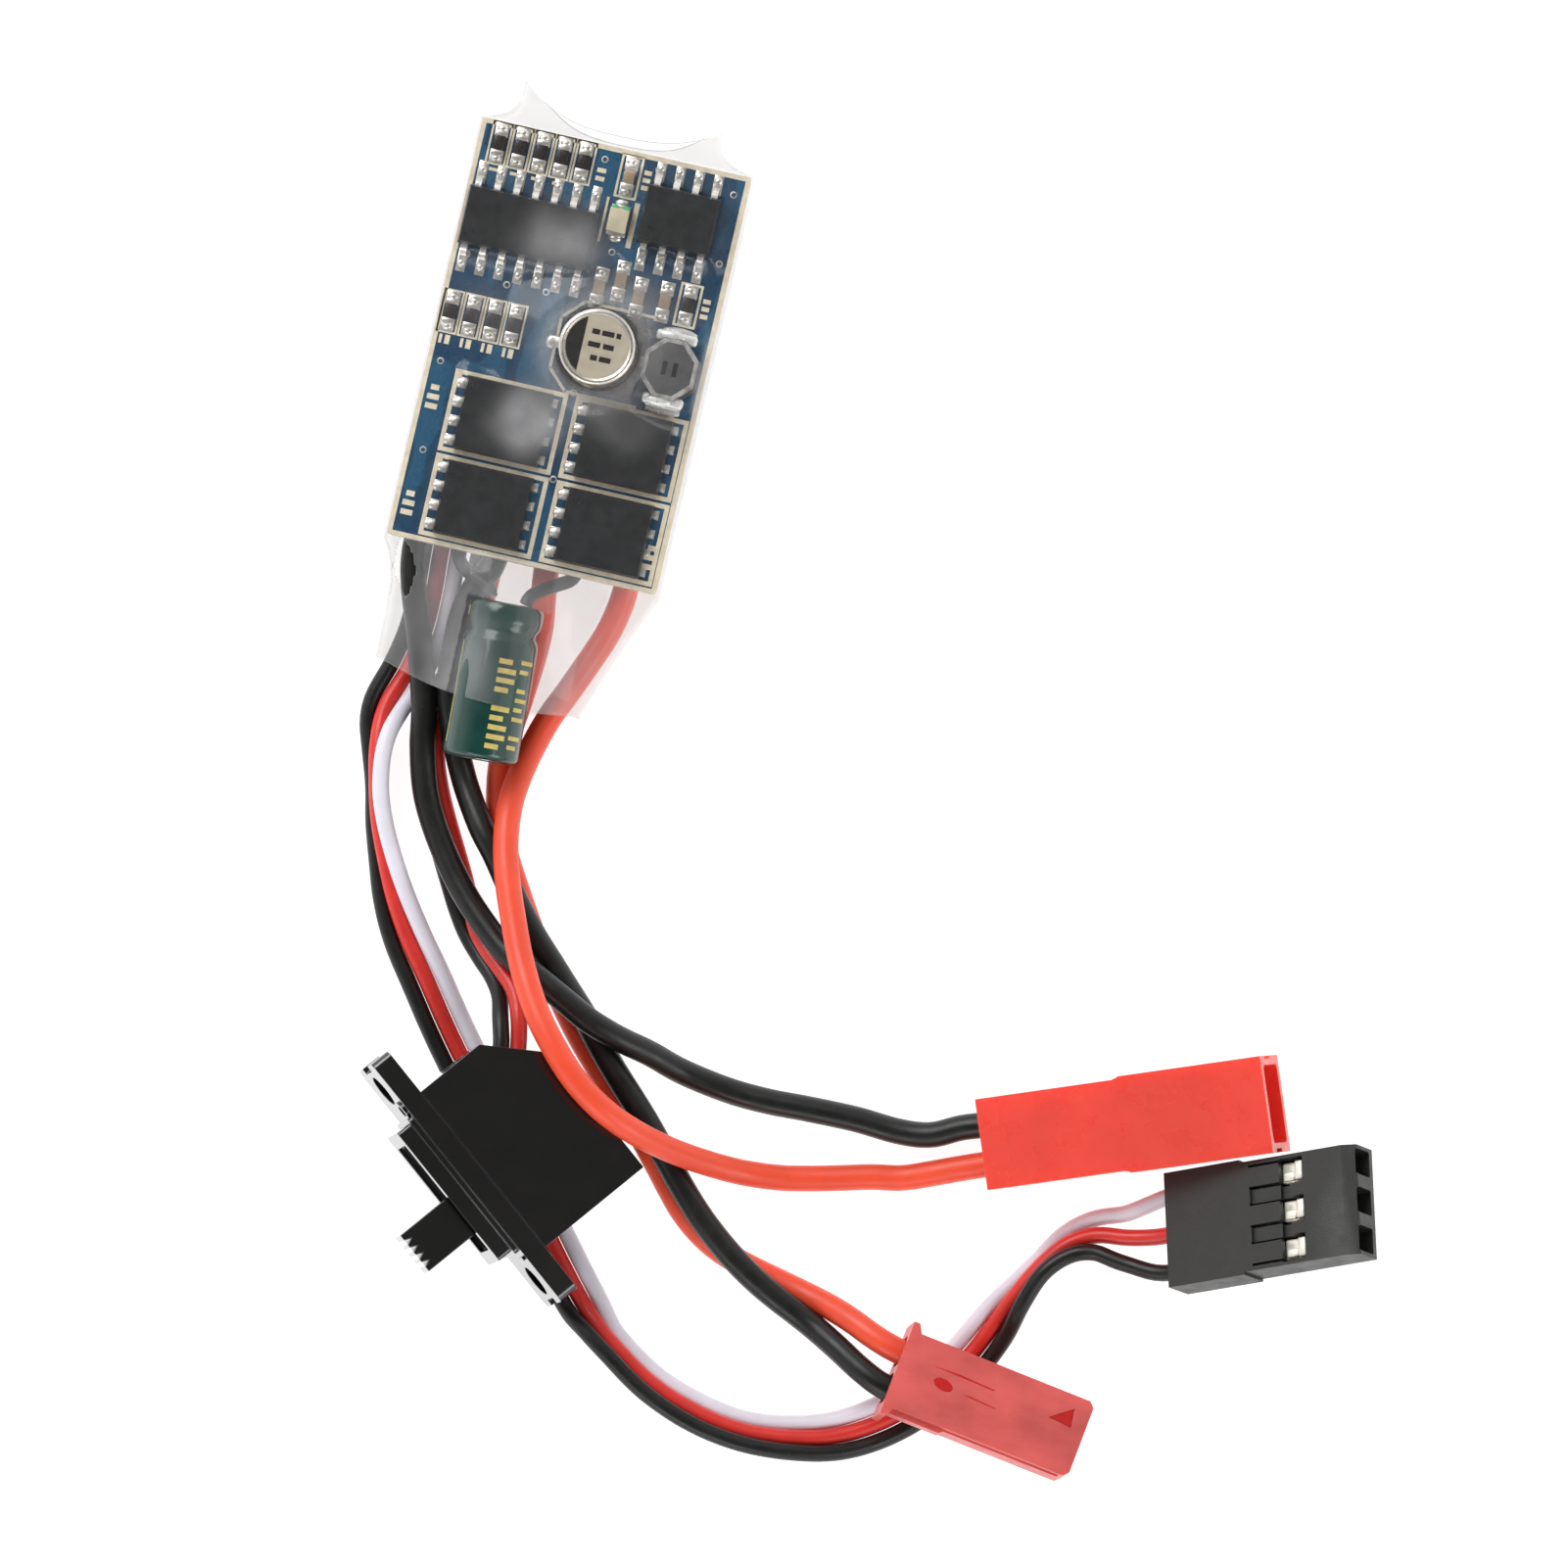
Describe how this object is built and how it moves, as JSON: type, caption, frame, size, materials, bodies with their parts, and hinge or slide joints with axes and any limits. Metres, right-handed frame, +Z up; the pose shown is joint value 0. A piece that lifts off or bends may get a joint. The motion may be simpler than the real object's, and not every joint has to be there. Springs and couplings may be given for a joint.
{
  "type": "electronic speed controller",
  "caption": "Small brushed-motor speed controller: a circuit board in clear shrink sleeve, with bulk capacitor, slide switch, battery, motor and receiver leads.",
  "frame": {"origin": "middle of the board, on the module's flat underside", "axes": "+Y along the board away from the leads, +X across the board, +Z up out of the component side"},
  "size_m": [0.0736, 0.0834, 0.013],
  "materials": {
    "clear_film": "clear heat-shrink film, milky where it stands off",
    "solder_mask": "satin blue solder mask",
    "chip_plastic": "matt moulded",
    "chip_ceramic": "fired ceramic",
    "ferrite": "matt ferrite",
    "led_lens": "cloudy lens",
    "bare_aluminium": "satin",
    "green_wrap": "gloss shrink wrap",
    "black_plastic": "satin moulded",
    "black_silicone": "satin silicone",
    "red_silicone": "satin silicone",
    "white_silicone": "satin silicone",
    "red_plastic": "gloss moulded, slightly see-through",
    "pink_red_plastic": "satin moulded",
    "tinned_metal": "tin plate"
  },
  "bodies": {
    "controller": {"sleeve": "clear_film", "circuit_board": "solder_mask", "controller_chip": "chip_plastic", "driver_chip": "chip_plastic", "power_transistor_1": "chip_plastic", "power_transistor_2": "chip_plastic", "power_transistor_3": "chip_plastic", "power_transistor_4": "chip_plastic", "chip_resistor_1": "chip_ceramic", "chip_resistor_2": "chip_ceramic", "chip_resistor_3": "chip_ceramic", "chip_resistor_4": "chip_ceramic", "chip_resistor_5": "chip_ceramic", "chip_resistor_6": "chip_ceramic", "chip_resistor_7": "chip_ceramic", "chip_resistor_8": "chip_ceramic", "chip_resistor_9": "chip_ceramic", "chip_capacitor_1": "chip_ceramic", "chip_capacitor_2": "chip_ceramic", "chip_capacitor_3": "chip_ceramic", "chip_capacitor_4": "chip_ceramic", "chip_capacitor_5": "chip_ceramic", "chip_resistor_10": "chip_ceramic", "status_led": "led_lens", "inductor": "ferrite", "board_capacitor_base": "black_plastic", "board_capacitor_can": "bare_aluminium", "bulk_capacitor_can": "bare_aluminium", "bulk_capacitor_wrap": "green_wrap", "bulk_capacitor_seal": "black_silicone", "bulk_capacitor_lead_1": "black_silicone", "bulk_capacitor_lead_2": "black_silicone", "battery_wire_black": "black_silicone", "battery_wire_red": "red_silicone", "motor_wire_black": "black_silicone", "motor_wire_red": "red_silicone", "receiver_wire_black": "black_silicone", "receiver_wire_red": "red_silicone", "receiver_wire_white": "white_silicone", "switch_wire_black": "black_silicone", "switch_wire_red": "red_silicone", "battery_connector_housing": "red_plastic", "battery_pin_1": "tinned_metal", "battery_pin_2": "tinned_metal", "motor_connector_housing": "pink_red_plastic", "motor_contact_1": "tinned_metal", "motor_contact_2": "tinned_metal", "receiver_connector_housing": "black_plastic", "receiver_contact_1": "tinned_metal", "receiver_contact_2": "tinned_metal", "receiver_contact_3": "tinned_metal", "switch_housing": "black_plastic", "switch_faceplate": "black_plastic", "switch_base": "chip_plastic", "switch_terminal_1": "tinned_metal", "switch_terminal_2": "tinned_metal", "switch_terminal_3": "tinned_metal"},
    "switch_slider": {"switch_lever": "black_plastic", "switch_contact_bridge": "tinned_metal"}
  },
  "joints": [
    {"name": "switch_slide", "type": "slide", "parent": "controller", "child": "switch_slider", "axis": [-0.7813, 0.6192, 0.0785], "range_m": [0, 0.003]}
  ]
}
